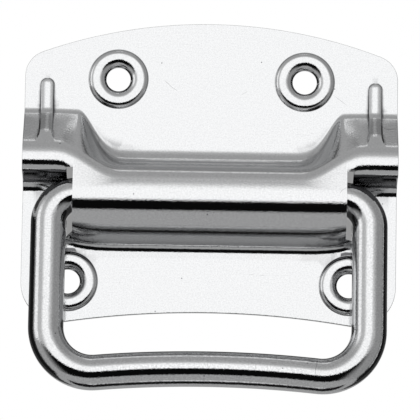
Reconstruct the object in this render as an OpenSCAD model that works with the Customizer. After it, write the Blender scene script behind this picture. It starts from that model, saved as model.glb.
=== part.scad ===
// Surface-mounted chest handle: a pressed steel plate and a bent rod that swings in its hood.
// The back of the plate lies on the XZ plane, the front faces -Y and +Z is up.
// The origin is on the mounting plane, midway between the two upper screw holes.

/* [Plate] */
// Width of the plate
plate_w = 100; // [94:1:120]
// Thickness of the sheet
sheet_t = 1.2; // [0.8:0.1:1.6]
// Height of the top edge's middle above the upper holes
plate_rise = 15.4; // [12:0.2:24]
// Depth of the bottom edge's middle below the upper holes
plate_drop = 62.9; // [60:0.1:72]
// Radius of the arched top edge
top_edge_r = 130; // [110:5:240]
// Radius of the hollow bottom edge
bottom_edge_r = 243; // [180:1:400]
// Radius of the top corners
top_corner_r = 7; // [3:0.5:10]
// Radius of the bottom corners
bottom_corner_r = 10.5; // [5:0.5:13]

/* [Screw holes] */
// Pitch of the two upper holes
upper_pitch = 50; // [40:1:54]
// Pitch of the two lower holes
lower_pitch = 75; // [66:1:78]
// Distance between the upper and the lower row
row_drop = 55; // [54:0.5:60]
// Diameter of a screw hole
hole_d = 6.5; // [5:0.1:7.5]
// Outer diameter of the raised ring round a hole
ring_d = 16; // [14.5:0.1:16]
// Outer diameter of the ring's flat top
ring_top_outer_d = 13.8; // [12.5:0.1:14.2]
// Inner diameter of the ring's flat top
ring_top_inner_d = 10.6; // [9:0.1:11.8]
// Height of the ring above the plate
ring_h = 1; // [0.5:0.1:1.4]

/* [Hood] */
// Distance of the swing axis below the upper holes
axis_drop = 32.6; // [32.5:0.1:33]
// Distance of the hood's crest below the swing axis
crest_shift = 0.45; // [0.3:0.05:0.6]
// Outer radius of the hood's broad crest
crest_r = 13.5; // [13:0.1:14]
// Outer radius of the bend in front of the crest
front_r = 7.5; // [7.2:0.1:7.8]
// Outer radius of the hood's lower slope
slope_r = 13.2; // [12.6:0.1:13.4]
// Tilt of the sheet where the bend in front of the crest starts, in degrees
front_from = 7.3; // [6.5:0.1:8]
// Tilt of the sheet where that bend ends, in degrees
front_to = 25.4; // [24.5:0.1:26]
// Outer radius of the bend behind the crest, at the middle
shoulder_r = 6; // [5.7:0.1:6.1]
// Tilt of the sheet where that bend starts, in degrees
shoulder_tilt = 16; // [15:0.5:16.5]
// Width of the flat between the crest and the bend behind it
shoulder_flat = 0.8; // [0.6:0.1:1]
// Distance of the hood's upper foot below the upper holes, at the middle
hood_top_foot = 22.4; // [21.8:0.1:22.5]
// Distance of the hood's lower foot below the upper holes
hood_low_foot = 45.2; // [45:0.1:45.6]
// Half width over which the crest runs straight
crest_straight = 23.8; // [22:0.2:25]
// Half width over which the upper foot runs straight
foot_straight = 19; // [17:0.2:20]
// Half width at which the curved upper foot has risen to the ear's foot
foot_reach = 35.7; // [35:0.1:36.2]
// Length over which the hood's lower corner rounds off
corner_len = 12; // [8:0.5:16]
// Rise of the hood's lower foot over that length
corner_rise = 2.6; // [1.6:0.1:2.8]

/* [Ears] */
// Distance of the ear's upper foot below the upper holes
ear_top_foot = 9.05; // [8.9:0.05:9.6]
// Distance of the ear's crest below the upper holes
ear_drop = 22.8; // [22.2:0.1:22.9]
// Height of the ear's crest above the plate
ear_h = 10.2; // [9.8:0.1:10.4]
// Outer radius of the ear's crest
ear_r = 4.5; // [4.2:0.1:4.6]
// Distance of the ear's lower foot below the upper holes
ear_low_foot = 28.5; // [28.3:0.1:28.6]

/* [Slots] */
// Width of the slot that the rod passes through
slot_w = 1.7; // [1.2:0.1:2.4]
// Distance of the slot's upper end below the upper holes
slot_top = 25.8; // [25:0.1:26]

/* [Ribs] */
// Distance of a rib from the middle of the plate
rib_x = 44; // [43.5:0.1:45]
// Width of a rib
rib_w = 3.8; // [2.6:0.1:4.2]
// Height of a rib above the sheet
rib_h = 1.1; // [0.5:0.1:1.3]
// Height of a rib's upper end above the upper holes
rib_rise = 0.2; // [-2:0.1:3]

/* [Fillets] */
// Radius of the fold at the ear's upper foot
ear_fold_r = 3.5; // [2.4:0.1:4]
// Radius of the fold at the hood's upper foot
hood_fold_r = 5.5; // [4.5:0.1:5.7]
// Radius of the fold at the hood's lower foot
low_fold_r = 2.6; // [1.6:0.1:2.8]
// Radius of the fold at the ear's lower foot
ear_low_fold_r = 3.2; // [2:0.1:3.4]

/* [Handle] */
// Diameter of the rod
rod_d = 9.5; // [8:0.1:10]
// Distance between the middles of the legs
leg_span = 85.6; // [84:0.2:87]
// Height of the whole handle at rest, from the plate's top to the underside of the grip's corners
overall_h = 100.6; // [96:0.2:140]
// Centre-line radius of the bend where the rod enters the hood
eye_bend_r = 7.5; // [6:0.1:8]
// Centre-line radius of the bend between leg and grip
corner_bend_r = 12.3; // [8:0.1:16]
// Centre-line radius of the grip's slight bow
grip_bow_r = 310; // [200:10:900]
// Length of a rod end under the hood
rod_end_len = 22; // [14:0.5:30]
// Chamfer on a rod end
rod_chamfer = 0.6; // [0.2:0.1:1.5]

/* [Fits] */
// Gap between the rod and the front of the plate
plate_gap = 0.3; // [0.2:0.05:0.6]
// Gap between the rod and the inside of the hood
hood_gap = 0.3; // [0.2:0.05:0.6]
// Distance between a leg's inner side and the end of the hood
leg_gap = 1.65; // [1.4:0.05:2.2]

/* [Hidden] */
$fn = 96;

// Segments along the folds and crests of the pressed sheet
FOLD_STEPS = 4;
SLOPE_STEPS = 3;
SHOULDER_STEPS = 5;
CREST_STEPS = 12;
// Columns along the curved shoulder
CURVE_COLUMNS = 13;
RIB_END_STEPS = 5;
// Steps round the edges of a ring
RING_STEPS = 5;
// Sides of the swept rod, and its steps round a corner and along the grip
ROD_SIDES = 36;
CORNER_STEPS = 14;
BOW_STEPS = 12;
// Inset that keeps the corners of the swept section inside the round section it joins
SWEEP_INSET = 0.02;
// Flat margin kept round a fold, and the overrun of a cut
MARGIN = 0.15;
OVERRUN = 1;

half_w = plate_w / 2;
rod_r = rod_d / 2;
leg_x = leg_span / 2;
hood_x = leg_x - rod_r - leg_gap;
ear_x = hood_x + slot_w;

// The rod lies just in front of the plate, and the hood clears the rod and the start of its bend.
axis_depth = sheet_t + rod_r + plate_gap;
bend_x = leg_x - eye_bend_r;
bend_inner_r = eye_bend_r - rod_r;
bend_run = max(0, hood_x - bend_x);
eye_reach = eye_bend_r - sqrt(bend_inner_r ^ 2 - bend_run ^ 2);
hood_h = axis_depth + eye_reach + hood_gap;

// Circles of the sections as centres, [distance below the holes, height above the plate], and radii.
function way(tilt) = [sin(tilt), cos(tilt)];
crest_centre = [axis_drop + crest_shift, hood_h - crest_r];
front_centre = crest_centre + (crest_r - front_r) * way(front_from);
shoulder_centre = crest_centre + (crest_r - shoulder_r) * way(-shoulder_tilt)
    - shoulder_flat * [cos(shoulder_tilt), sin(shoulder_tilt)];
ear_centre = [ear_drop, ear_h - ear_r];

// The legs hang clear of the lower rings, tilted a little outwards.
ring_top_r = ring_top_outer_d / 2;
rest_tilt = atan(ring_h / (row_drop - axis_drop - ring_top_r));

// Bend between leg and grip: two circles that touch, the corner and the long bow of the grip.
corner_x = leg_x - corner_bend_r;
bow_turn = asin(corner_x / (grip_bow_r + corner_bend_r));
corner_reach = (overall_h - plate_rise - axis_drop - rod_r) / cos(rest_tilt) - corner_bend_r;
bow_centre = corner_reach + (grip_bow_r + corner_bend_r) * cos(bow_turn);

function clamp01(u) = min(1, max(0, u));
function ease(u) = 0.5 - 0.5 * cos(180 * clamp01(u));
function mix(a, b, u) = a + (b - a) * u;

// Tilt of the straight that leaves a foot on the plate and touches a crest circle.
function foot_tilt(run, height, r) = atan2(height, run) + asin(r / norm([run, height]));

// A sheet point is [distance below the holes, height above the plate, tilt of the surface].
function sheet_point(p, tilt) = [p.x, p.y, tilt];
function crest_arc(c, r, from, to, steps) =
    [for (i = [0:steps]) let (a = mix(from, to, i / steps)) sheet_point(c + r * [sin(a), cos(a)], a)];
function fold_arc(c, r, from, to, steps) =
    [for (i = [0:steps]) let (a = mix(from, to, i / steps)) sheet_point(c - r * [sin(a), cos(a)], a)];
function between(p, q, steps) =
    [for (i = [1:steps]) let (u = i / (steps + 1)) sheet_point(mix(p, q, u), p[2])];
function last(list) = list[len(list) - 1];
function tail(list) = [for (i = [1:len(list) - 1]) list[i]];
function flat(d) = [d, 0, 0];

// Share of the hood's middle form in the crest and in the upper foot at x: 1 in the middle, 0 at the ears.
function crest_share(x) = 1 - ease((x - crest_straight) / (ear_x - crest_straight));
function foot_share(x) = 1 - ease(clamp01((x - foot_straight) / (foot_reach - foot_straight)) ^ 2);
function upper_circle(x) = mix([ear_centre, ear_r], [shoulder_centre, shoulder_r], crest_share(x));

// Upper side of the section at x: flat, fold, slope and crest, up to the given crest tilt.
function upper_side(x, crest_end, crest_steps) =
    let (circle = upper_circle(x), c = circle[0], r = circle[1], v = foot_share(x))
    let (foot = mix(ear_top_foot, hood_top_foot, v), fold_r = mix(ear_fold_r, hood_fold_r, v))
    let (tilt = foot_tilt(c.x - foot, c.y, r))
    let (fold = fold_arc([foot - fold_r * tan(tilt / 2), fold_r], fold_r, 0, -tilt, FOLD_STEPS))
    let (crest = crest_arc(c, r, -tilt, crest_end, crest_steps))
    concat(fold, between(last(fold), crest[0], SLOPE_STEPS), crest);

// Lower foot and lower slope of the hood at x, which round off towards its ends.
function corner_share(x) = 1 - sqrt(1 - clamp01((x - ear_x + corner_len) / corner_len) ^ 2);
function low_foot(x) = hood_low_foot - corner_rise * corner_share(x);
function slope_radius(x) = mix(slope_r, front_r, corner_share(x));
function slope_centre(x) = front_centre + (front_r - slope_radius(x)) * way(front_to);

// Section through the hood at x, with a row on its straight shoulder at the slot's upper end.
SLOT_ROW_SHARES = [0.1, 0.9];
ARC_STEPS = CREST_STEPS / 3;
function hood_section(x) =
    let (circle = upper_circle(x), away = crest_centre - circle[0])
    let (rise = atan2(away.y, away.x) + asin((crest_r - circle[1]) / norm(away)))
    let (upper = upper_side(x, -rise, SHOULDER_STEPS))
    let (c = slope_centre(x), r = slope_radius(x), tilt = foot_tilt(low_foot(x) - c.x, c.y, r))
    let (crest = crest_arc(crest_centre, crest_r, -rise, front_from, ARC_STEPS))
    let (front = tail(crest_arc(front_centre, front_r, front_from, front_to, ARC_STEPS)))
    let (slope = tail(crest_arc(c, r, front_to, tilt, ARC_STEPS)))
    let (top = last(upper), share = (slot_top - top.x) / (crest[0].x - top.x))
    let (along = min(SLOT_ROW_SHARES[1], max(SLOT_ROW_SHARES[0], share)))
    let (fold_c = [low_foot(x) + low_fold_r * tan(tilt / 2), low_fold_r])
    let (fold = fold_arc(fold_c, low_fold_r, tilt, 0, FOLD_STEPS))
    concat(upper, [mix(top, crest[0], along)], crest, front, slope, between(last(slope), fold[0], 1), fold);

// Section through an ear, on the same rows as the end of the hood.
function ear_section() =
    let (slot_tilt = asin((slot_top - ear_centre.x) / ear_r))
    let (tilt = foot_tilt(ear_low_foot - ear_centre.x, ear_centre.y, ear_r))
    let (upper = upper_side(half_w, slot_tilt, SHOULDER_STEPS + 1))
    let (lower_steps = CREST_STEPS / 2)
    let (crest = crest_arc(ear_centre, ear_r, slot_tilt, tilt, lower_steps))
    let (fold_c = [ear_low_foot + ear_low_fold_r * tan(tilt / 2), ear_low_fold_r])
    let (fold = fold_arc(fold_c, ear_low_fold_r, tilt, 0, lower_steps))
    let (rest = [for (i = [SLOT_LAST_ROW:len(hood_end) - 1]) flat(hood_end[i].x)])
    concat(upper, tail(crest), fold, rest);

hood_end = hood_section(hood_x);
SLOT_FIRST_ROW = FOLD_STEPS + SLOPE_STEPS + SHOULDER_STEPS + 2;
SLOT_LAST_ROW = SLOT_FIRST_ROW + CREST_STEPS + 2;
ear_rows = ear_section();

// Height of a rib above the sheet: a bead with a round upper end that spreads into the ear's crest.
RIB_SPREAD = 0.8;
RIB_FADE_SHARES = [0.62, 0.92];
rib_fade_from = RIB_FADE_SHARES[0] * ear_drop;
rib_fade_to = RIB_FADE_SHARES[1] * ear_drop;
function rib_height(x, d) =
    let (fade = ease((d - rib_fade_from) / (rib_fade_to - rib_fade_from)))
    let (reach = rib_w / 2 * (1 + RIB_SPREAD * fade))
    let (away = norm([x - rib_x, min(0, d - (rib_w / 2 - rib_rise))]) / reach)
    rib_h * (1 - fade) * sqrt(1 - clamp01(away) ^ 2);

// The pressed band is one grid of rows down the sheet and columns across it.
band_top = ear_top_foot - ear_fold_r - MARGIN;
band_bottom = hood_low_foot + low_fold_r + MARGIN;
tab_half = rib_w / 2 * (1 + RIB_SPREAD);
tab_top = -rib_rise - MARGIN;
tab_rows = [for (i = [0:RIB_END_STEPS])
    flat(mix(-rib_rise, rib_w / 2 - rib_rise, i / RIB_END_STEPS))];
head_rows = concat([flat(tab_top)], tab_rows, [flat(band_top)]);
HEAD_ROWS = len(head_rows);

function section(x) =
    concat(head_rows, x > hood_x + slot_w / 2 ? ear_rows : hood_section(x), [flat(band_bottom)]);

RIB_SHARES = [0.4, 0.75, 1, 1 + RIB_SPREAD / 2, 1 + RIB_SPREAD];
rib_right = [for (share = RIB_SHARES) share * rib_w / 2];
rib_left = [for (i = [len(rib_right) - 1:-1:0]) -rib_right[i]];
rib_columns = [for (x = concat(rib_left, [0], rib_right)) rib_x + x];
RIB_COLUMNS = len(rib_columns) - 1;
curve_columns = [for (i = [0:CURVE_COLUMNS]) mix(foot_straight, hood_x, i / CURVE_COLUMNS)];
side_columns = concat(curve_columns, [ear_x], rib_columns, [half_w]);
columns = concat([for (i = [len(side_columns) - 1:-1:0]) -side_columns[i]], side_columns);
ROWS = len(section(half_w));
COLUMNS = len(columns);

// Whether the sheet fills the cell below row i and right of column j.
function side_cell(j) = j < COLUMNS / 2 - 1 ? COLUMNS / 2 - 2 - j : j - COLUMNS / 2;
function filled(i, j) =
    i < 0 || j < 0 || i >= ROWS - 1 || j >= COLUMNS - 1 ? false :
    j == COLUMNS / 2 - 1 ? i >= HEAD_ROWS - 1 :
    let (k = side_cell(j), rib_from = CURVE_COLUMNS + 2)
    i < HEAD_ROWS - 1 ? k >= rib_from && k < rib_from + RIB_COLUMNS :
    k != CURVE_COLUMNS || i < HEAD_ROWS + SLOT_FIRST_ROW || i >= HEAD_ROWS + SLOT_LAST_ROW;

module pressed_band() {
    front = [for (x = columns) for (p = section(abs(x)))
        [x, -p.x, sheet_t + p.y + rib_height(abs(x), p.x)]];
    back = [for (x = columns) for (p = section(abs(x)))
        [x, -p.x + sheet_t * sin(p[2]), sheet_t + p.y + rib_height(abs(x), p.x) - sheet_t * cos(p[2])]];
    deep = ROWS * COLUMNS;
    quads = [for (j = [0:COLUMNS - 2]) for (i = [0:ROWS - 2]) if (filled(i, j))
        let (tl = j * ROWS + i, bl = tl + 1, tr = tl + ROWS, br = tr + 1)
        each concat(
            [[tl, tr, br, bl], [deep + tl, deep + bl, deep + br, deep + tr]],
            filled(i, j - 1) ? [] : [[deep + tl, tl, bl, deep + bl]],
            filled(i, j + 1) ? [] : [[tr, deep + tr, deep + br, br]],
            filled(i - 1, j) ? [] : [[deep + tl, deep + tr, tr, tl]],
            filled(i + 1, j) ? [] : [[bl, br, deep + br, deep + bl]])];
    triangles = [for (q = quads) each [[q[0], q[1], q[2]], [q[0], q[2], q[3]]]];
    polyhedron(points = concat(front, back), faces = triangles);
}

// Corner left over outside a fillet circle, between its two tangent points.
module corner_offcut(centre, r, side_point, edge_point, beyond) {
    difference() {
        polygon([centre, side_point, beyond, edge_point]);
        translate(centre) circle(r);
    }
}

module plate_outline() {
    top_c = plate_rise - top_edge_r;
    bottom_c = -plate_drop - bottom_edge_r;
    top_fillet = [half_w - top_corner_r,
        top_c + sqrt((top_edge_r - top_corner_r) ^ 2 - (half_w - top_corner_r) ^ 2)];
    bottom_fillet = [half_w - bottom_corner_r,
        bottom_c + sqrt((bottom_edge_r + bottom_corner_r) ^ 2 - (half_w - bottom_corner_r) ^ 2)];
    top_out = (top_fillet - [0, top_c]) / norm(top_fillet - [0, top_c]);
    bottom_out = ([0, bottom_c] - bottom_fillet) / norm([0, bottom_c] - bottom_fillet);
    sheet_h = plate_rise + plate_drop + bottom_corner_r;
    difference() {
        intersection() {
            translate([-half_w, plate_rise - sheet_h]) square([plate_w, sheet_h]);
            translate([0, top_c]) circle(top_edge_r, $fn = 360);
        }
        translate([0, bottom_c]) circle(bottom_edge_r, $fn = 720);
        for (side = [0, 1]) mirror([side, 0]) {
            corner_offcut(top_fillet, top_corner_r, top_fillet + [top_corner_r + OVERRUN, 0],
                top_fillet + top_out * (top_corner_r + OVERRUN), [half_w + OVERRUN, plate_rise]);
            corner_offcut(bottom_fillet, bottom_corner_r, bottom_fillet + [bottom_corner_r + OVERRUN, 0],
                bottom_fillet + bottom_out * (bottom_corner_r + OVERRUN),
                [half_w + OVERRUN, plate_rise - sheet_h - OVERRUN]);
        }
    }
}

// The flat sheet, with the place of the pressed band left open.
module flat_sheet() {
    linear_extrude(sheet_t) difference() {
        plate_outline();
        translate([-half_w - OVERRUN, -band_bottom])
            square([plate_w + 2 * OVERRUN, band_bottom - band_top]);
        for (side = [-1, 1])
            translate([side * rib_x - tab_half, -band_top])
                square([2 * tab_half, band_top - tab_top]);
    }
}

// Profile of a ring, lifted by the given height: rounded from its foot to its top and down to the hole.
DISH_SHARE = 0.85;
module ring_profile(lift) {
    hole_r = hole_d / 2;
    inner_r = ring_top_inner_d / 2;
    dish_depth = 1 - sqrt(1 - DISH_SHARE ^ 2);
    dish = [for (i = [RING_STEPS:-1:0]) let (u = i / RING_STEPS)
        let (sink = (1 - sqrt(1 - (DISH_SHARE * u) ^ 2)) / dish_depth)
        [mix(inner_r, hole_r, u), lift + ring_h * (1 - sink)]];
    flank = [for (i = [0:RING_STEPS]) let (a = 90 - 90 * i / RING_STEPS)
        [mix(ring_top_r, ring_d / 2, cos(a)), lift + ring_h * sin(a)]];
    polygon(concat([[0, lift]], dish, flank, [[ring_d / 2, lift - OVERRUN], [0, lift - OVERRUN]]));
}

module at_screws() {
    for (side = [-1, 1]) {
        translate([side * upper_pitch / 2, 0, 0]) children();
        translate([side * lower_pitch / 2, -row_drop, 0]) children();
    }
}

// Turns the plan, drawn flat with its front up, to stand on the wall.
module on_wall() {
    rotate([90, 0, 0]) children();
}

module base_plate() {
    color("silver") on_wall() difference() {
        union() {
            flat_sheet();
            pressed_band();
            at_screws() rotate_extrude() ring_profile(sheet_t);
        }
        at_screws() rotate_extrude() ring_profile(0);
        at_screws() translate([0, 0, -OVERRUN]) cylinder(d = hole_d, h = sheet_t + 2 * OVERRUN);
    }
}

// One end of the rod, with its end chamfered, from the bend inwards.
module rod_end() {
    translate([hood_x - rod_end_len, 0, 0]) rotate([0, 90, 0]) {
        cylinder(r1 = rod_r - rod_chamfer, r2 = rod_r, h = rod_chamfer);
        translate([0, 0, rod_chamfer]) cylinder(r = rod_r, h = bend_x - hood_x + rod_end_len - rod_chamfer);
    }
}

// A rod end and the bend from it to the leg.
module rod_eye() {
    rod_end();
    translate([bend_x, -eye_bend_r, 0]) rotate_extrude(angle = 90) translate([eye_bend_r, 0]) circle(rod_r);
}

// A stop on the rod's centre line is [x, y, heading], and turns clockwise or back about a centre.
function bend_stops(c, r, from, to, steps) =
    let (side = from > to ? -90 : 90)
    [for (i = [0:steps]) let (a = mix(from, to, i / steps)) [c.x + r * cos(a), c.y + r * sin(a), a + side]];
function mirrored(stops) = [for (i = [len(stops) - 1:-1:0]) [-stops[i].x, stops[i].y, -stops[i][2]]];

// Leg, corner, bowed grip, corner and leg, swept as one stretch of rod.
module grip_frame() {
    corner = bend_stops([corner_x, -corner_reach], corner_bend_r, 0, -90 - bow_turn, CORNER_STEPS);
    bow = bend_stops([0, -bow_centre], grip_bow_r, 90 - bow_turn, 90 + bow_turn, BOW_STEPS);
    middle = [for (i = [1:BOW_STEPS - 1]) bow[i]];
    right = concat([[leg_x, -eye_bend_r, -90]], corner);
    stops = concat(right, middle, mirrored(right));
    swept_r = rod_r - SWEEP_INSET;
    points = [for (p = stops) for (k = [0:ROD_SIDES - 1])
        let (a = 360 * k / ROD_SIDES, out = swept_r * cos(a))
        [p.x - out * sin(p[2]), p.y + out * cos(p[2]), swept_r * sin(a)]];
    end = (len(stops) - 1) * ROD_SIDES;
    skin = [for (i = [0:len(stops) - 2]) for (k = [0:ROD_SIDES - 1])
        let (a = i * ROD_SIDES + k, b = i * ROD_SIDES + (k + 1) % ROD_SIDES)
        let (c = b + ROD_SIDES, d = a + ROD_SIDES)
        each [[a, c, b], [a, d, c]]];
    first_cap = [for (k = [0:ROD_SIDES - 1]) k];
    last_cap = [for (k = [ROD_SIDES - 1:-1:0]) end + k];
    polyhedron(points = points, faces = concat(skin, [first_cap, last_cap]));
}

module bail_handle() {
    color("gainsboro") on_wall() translate([0, -axis_drop, axis_depth]) rotate([-rest_tilt, 0, 0]) {
        rod_eye();
        mirror([1, 0, 0]) rod_eye();
        grip_frame();
    }
}

base_plate();
bail_handle();
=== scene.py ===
"""Chest handle: a pressed, bright plated plate and the bent rod that swings in its hood."""

import logging
import math
from dataclasses import dataclass, field
from enum import Enum
from typing import Callable, Mapping, NamedTuple, Sequence

import bmesh
import bpy
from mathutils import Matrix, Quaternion, Vector
from mathutils.bvhtree import BVHTree
from mathutils.geometry import delaunay_2d_cdt

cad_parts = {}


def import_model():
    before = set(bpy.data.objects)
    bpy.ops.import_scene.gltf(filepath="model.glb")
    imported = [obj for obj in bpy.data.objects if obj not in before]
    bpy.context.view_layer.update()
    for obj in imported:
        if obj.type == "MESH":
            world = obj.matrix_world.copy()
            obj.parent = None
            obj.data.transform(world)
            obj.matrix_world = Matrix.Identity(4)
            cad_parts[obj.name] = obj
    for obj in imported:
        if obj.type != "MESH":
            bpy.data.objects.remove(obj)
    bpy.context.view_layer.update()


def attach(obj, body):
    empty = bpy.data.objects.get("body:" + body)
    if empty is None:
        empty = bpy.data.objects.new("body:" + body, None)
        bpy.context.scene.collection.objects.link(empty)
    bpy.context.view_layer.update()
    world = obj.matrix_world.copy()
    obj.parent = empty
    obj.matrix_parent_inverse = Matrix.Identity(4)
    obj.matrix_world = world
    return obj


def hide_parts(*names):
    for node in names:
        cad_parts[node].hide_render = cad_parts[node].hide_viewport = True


LOG = logging.getLogger("chest_handle")
MM = 0.001
TRIANGLES_INSIDE = 2
MERGE_MM = 1e-5
SAME_MM = 1e-6
SPOT_DIGITS = 4


def mix(a: float, b: float, share: float) -> float:
    """Blends from a to b by the given share."""
    return a + (b - a) * share


def spaced(first: float, last: float, steps: int) -> list[float]:
    """Gives evenly spaced values, both ends included."""
    return [mix(first, last, i / steps) for i in range(steps + 1)]


def ease(share: float) -> float:
    """Smooths a share, clamped to 0 and 1, so that it starts and ends level."""
    return 0.5 - 0.5 * math.cos(math.pi * min(1.0, max(0.0, share)))


def on_wall(x: float, up: float, depth: float) -> Vector:
    """Turns a plan point, in millimetres, to its place on the wall.

    Args:
        x: Distance to the right of the middle.
        up: Distance above the upper screw holes.
        depth: Distance in front of the wall.

    Returns:
        The point in metres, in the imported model's frame.
    """
    return Vector((x, -depth, up)) * MM


class Body(Enum):
    """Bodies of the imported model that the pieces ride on."""

    PLATE = "plate"
    BAIL = "bail"


class SheetPoint(NamedTuple):
    """A point of the pressed sheet: distance below the holes, height above the flat, tilt in radians."""

    down: float
    height: float
    tilt: float


class RimPoint(NamedTuple):
    """A point of the plate's border: its place, the sheet's normal and the way out of the plate."""

    place: Vector
    normal: Vector
    outward: Vector


def flat(down: float) -> SheetPoint:
    """Gives a point on the flat sheet."""
    return SheetPoint(down, 0.0, 0.0)


@dataclass(frozen=True)
class RodSizes:
    """Sizes of the bent rod, in millimetres."""

    radius: float = 4.75
    leg_x: float = 42.8
    eye_bend: float = 7.5
    corner_bend: float = 12.3
    bow_radius: float = 310.0
    overall_height: float = 100.6
    end_length: float = 22.0
    end_chamfer: float = 0.6
    leg_gap: float = 1.65
    plate_gap: float = 0.3
    hood_gap: float = 0.3

    @property
    def hood_x(self) -> float:
        """Half width of the hood, at the slots."""
        return self.leg_x - self.radius - self.leg_gap

    @property
    def bend_x(self) -> float:
        """Place where the rod starts to bend out of the hood."""
        return self.leg_x - self.eye_bend

    @property
    def eye_reach(self) -> float:
        """How far the bent rod reaches from the swing axis at the end of the hood."""
        inner = self.eye_bend - self.radius
        run = max(0.0, self.hood_x - self.bend_x)
        return self.eye_bend - math.sqrt(inner ** 2 - run ** 2)


@dataclass(frozen=True)
class Steps:
    """Numbers of steps in the meshes' grids."""

    fold: int = 8
    slope: int = 6
    shoulder: int = 12
    crest: int = 36
    curve: int = 44
    middle: int = 8
    roof: int = 8
    ear: int = 4
    rib: int = 60
    rib_cap: int = 12
    rib_end: int = 10
    ring: int = 96
    ring_fillet: int = 6
    ring_shoulder: int = 12
    ring_crown: int = 8
    ring_dish: int = 14
    top_border: tuple[int, int] = (14, 64)
    low_border: tuple[int, int] = (18, 48)
    rod_sides: int = 72
    rod_end: int = 10
    rod_eye: int = 28
    rod_leg: int = 16
    rod_corner: int = 36
    rod_bow: int = 24


STEPS = Steps()


@dataclass(frozen=True)
class PressedForm:
    """Sections through the hood and the ears, in millimetres, on rows that all sections share."""

    rod: RodSizes
    half_width: float = 50.0
    sheet: float = 1.2
    hood_drop: float = 32.6
    crest_shift: float = 0.45
    crest_radius: float = 13.5
    front_radius: float = 7.5
    slope_radius: float = 13.2
    front_turn: tuple[float, float] = (math.radians(7.3), math.radians(25.4))
    shoulder_radius: float = 6.0
    shoulder_turn: float = math.radians(16)
    shoulder_flat: float = 0.8
    hood_top_foot: float = 22.4
    hood_low_foot: float = 45.2
    crest_straight: float = 23.8
    foot_straight: float = 19.0
    foot_reach: float = 35.7
    corner_length: float = 12.0
    corner_rise: float = 2.6
    ear_top_foot: float = 9.05
    ear_drop: float = 23.7
    ear_height: float = 10.2
    ear_radius: float = 3.5
    ear_back_radius: float = 7.5
    ear_join: float = 41.5
    ear_low_foot: float = 28.5
    slot_width: float = 1.7
    slot_top: float = 25.8
    ear_fold: float = 3.5
    hood_fold: float = 5.5
    low_fold: float = 2.6
    ear_low_fold: float = 3.2
    rib_x: float = 44.0
    rib_width: float = 3.8
    rib_height: float = 1.1
    rib_rise: float = 0.0
    rib_spread: float = 0.5
    rib_crown: float = 0.84
    rib_side: float = 0.7
    rib_fade: tuple[float, float] = (15.6, 3.2)
    # Tilts over which an ear's steep lower flank gets a darker base colour: a painted dark reflection.
    flank_turn: tuple[float, float] = (math.radians(46), math.radians(16))
    margin: float = 0.15
    slot_share: tuple[float, float] = (0.1, 0.9)

    @property
    def half_rib(self) -> float:
        """Half width of a rib where it spreads into the ear."""
        return self.rib_width / 2 * (1 + self.rib_spread)

    @property
    def axis_depth(self) -> float:
        """Distance of the swing axis from the wall."""
        return self.sheet + self.rod.radius + self.rod.plate_gap

    @property
    def crest_centre(self) -> Vector:
        """Centre of the hood's broad crest circle, as distance down and height."""
        top = self.axis_depth + self.rod.eye_reach + self.rod.hood_gap
        return Vector((self.hood_drop + self.crest_shift, top - self.crest_radius))

    @property
    def front_centre(self) -> Vector:
        """Centre of the tighter bend in front of the crest."""
        return self.crest_centre + (self.crest_radius - self.front_radius) * self.way(self.front_turn[0])

    @property
    def shoulder_centre(self) -> Vector:
        """Centre of the bend behind the crest, at the middle of the hood."""
        back = self.way(-self.shoulder_turn)
        along = Vector((back.y, -back.x))
        inward = self.crest_radius - self.shoulder_radius
        return self.crest_centre + inward * back - self.shoulder_flat * along

    @staticmethod
    def way(tilt: float) -> Vector:
        """Gives the direction in which sheet of the given tilt faces, as distance down and height."""
        return Vector((math.sin(tilt), math.cos(tilt)))

    def corner(self, x: float) -> float:
        """Gives how far the hood's lower corner has rounded off at x, from 0 to 1."""
        share = min(1.0, max(0.0, (x - (self.ear_x - self.corner_length)) / self.corner_length))
        return 1 - math.sqrt(1 - share ** 2)

    def slope_circle(self, x: float) -> tuple[Vector, float]:
        """Gives the circle of the hood's lower slope at x, which tightens towards the corners."""
        radius = mix(self.slope_radius, self.front_radius, self.corner(x))
        return self.front_centre + (self.front_radius - radius) * self.way(self.front_turn[1]), radius

    @property
    def ear_x(self) -> float:
        """Distance of an ear's inner end from the middle."""
        return self.rod.hood_x + self.slot_width

    @property
    def first_slot_row(self) -> int:
        """Row of a section at the slot's upper end."""
        return STEPS.fold + STEPS.slope + STEPS.shoulder + STEPS.roof + 2

    @property
    def last_slot_row(self) -> int:
        """Row of a section at the slot's lower end."""
        return self.first_slot_row + STEPS.crest + 2

    @staticmethod
    def arc(centre: Vector, radius: float, start: float, end: float, steps: int) -> list[SheetPoint]:
        """Runs round a crest, or round a fold where the radius is negative.

        Args:
            centre: Centre of the circle, as distance down and height.
            radius: Radius, negative for a hollow fold.
            start: Tilt of the sheet at the start.
            end: Tilt of the sheet at the end.
            steps: Number of steps.

        Returns:
            Points from start to end.
        """
        points = []
        for tilt in spaced(start, end, steps):
            down, height = radius * math.sin(tilt), radius * math.cos(tilt)
            points.append(SheetPoint(centre.x + down, centre.y + height, tilt))
        return points

    def fold(self, foot: float, radius: float, turns: tuple[float, float], steps: int) -> list[SheetPoint]:
        """Runs round the hollow fold at a foot, between two tilts of which one is level."""
        centre = Vector((foot + radius * math.tan(sum(turns) / 2), radius))
        return self.arc(centre, -radius, *turns, steps)

    @staticmethod
    def between(first: SheetPoint, last: SheetPoint, steps: int) -> list[SheetPoint]:
        """Fills the straight between two points with the given number of points."""
        points = []
        for share in spaced(0.0, 1.0, steps + 1)[1:-1]:
            down, height = mix(first.down, last.down, share), mix(first.height, last.height, share)
            points.append(SheetPoint(down, height, first.tilt))
        return points

    @staticmethod
    def foot_tilt(run: float, height: float, radius: float) -> float:
        """Gives the tilt of the straight from a foot on the flat to a crest circle that it touches."""
        return math.atan2(height, run) + math.asin(radius / math.hypot(run, height))

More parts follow.
